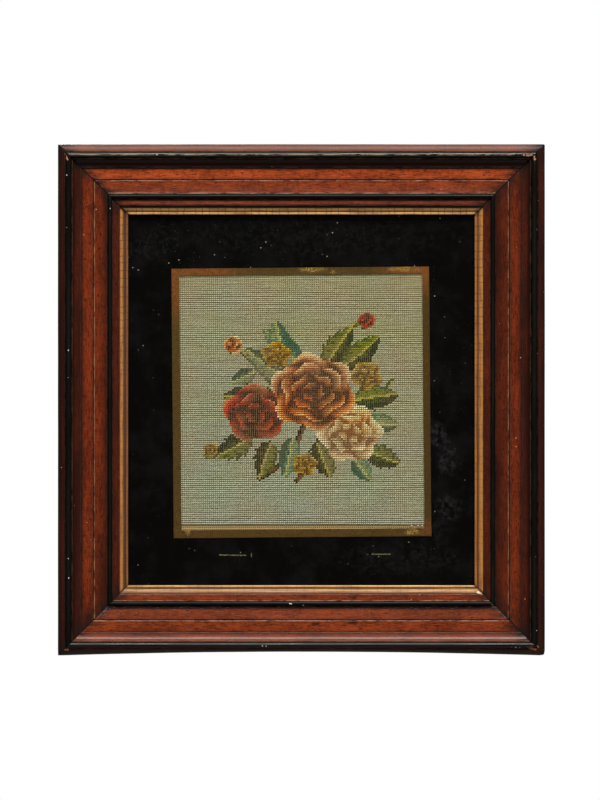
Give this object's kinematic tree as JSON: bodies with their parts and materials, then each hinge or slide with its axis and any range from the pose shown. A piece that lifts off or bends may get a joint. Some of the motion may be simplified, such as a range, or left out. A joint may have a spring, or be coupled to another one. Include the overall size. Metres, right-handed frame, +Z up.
{
  "type": "framed needlepoint picture",
  "caption": "Needlepoint panel behind black and gilt painted glass, in a mitred walnut and ebonised frame that hangs flat on a wall.",
  "frame": {"origin": "middle of the top rail's flat back face, where the picture hangs on the wall", "axes": "+Z up, +Y into the wall, the picture faces -Y and +X is to the viewer's right"},
  "size_m": [0.5, 0.04, 0.525],
  "materials": {
    "walnut": "polished red-brown walnut, grime along the mitres",
    "ebonised": "black ebonised beads, worn and chipped at the corners",
    "gilt_slip": "gold leaf over gesso, with fine cross cracks",
    "glass": "clear thin picture glass",
    "black_paint": "black paint behind the glass, seen glossy through it",
    "gold_leaf": "tarnished gold leaf line behind the glass",
    "needlework": "wool tent stitch on a pale canvas",
    "board": "plain thin softwood board",
    "iron": "dull iron brads"
  },
  "bodies": {
    "root": {"rail_top": "walnut", "rail_bottom": "walnut", "rail_left": "walnut", "rail_right": "walnut", "outer_bead_top": "ebonised", "outer_bead_bottom": "ebonised", "outer_bead_left": "ebonised", "outer_bead_right": "ebonised", "inner_bead_top": "ebonised", "inner_bead_bottom": "ebonised", "inner_bead_left": "ebonised", "inner_bead_right": "ebonised", "slip_top": "gilt_slip", "slip_bottom": "gilt_slip", "slip_left": "gilt_slip", "slip_right": "gilt_slip", "glass_pane": "glass", "black_coat": "black_paint", "gilt_line": "gold_leaf", "needlework": "needlework", "backboard": "board", "brad_top_1": "iron", "brad_top_2": "iron", "brad_bottom_1": "iron", "brad_bottom_2": "iron", "brad_left_1": "iron", "brad_left_2": "iron", "brad_right_1": "iron", "brad_right_2": "iron"}
  },
  "joints": []
}
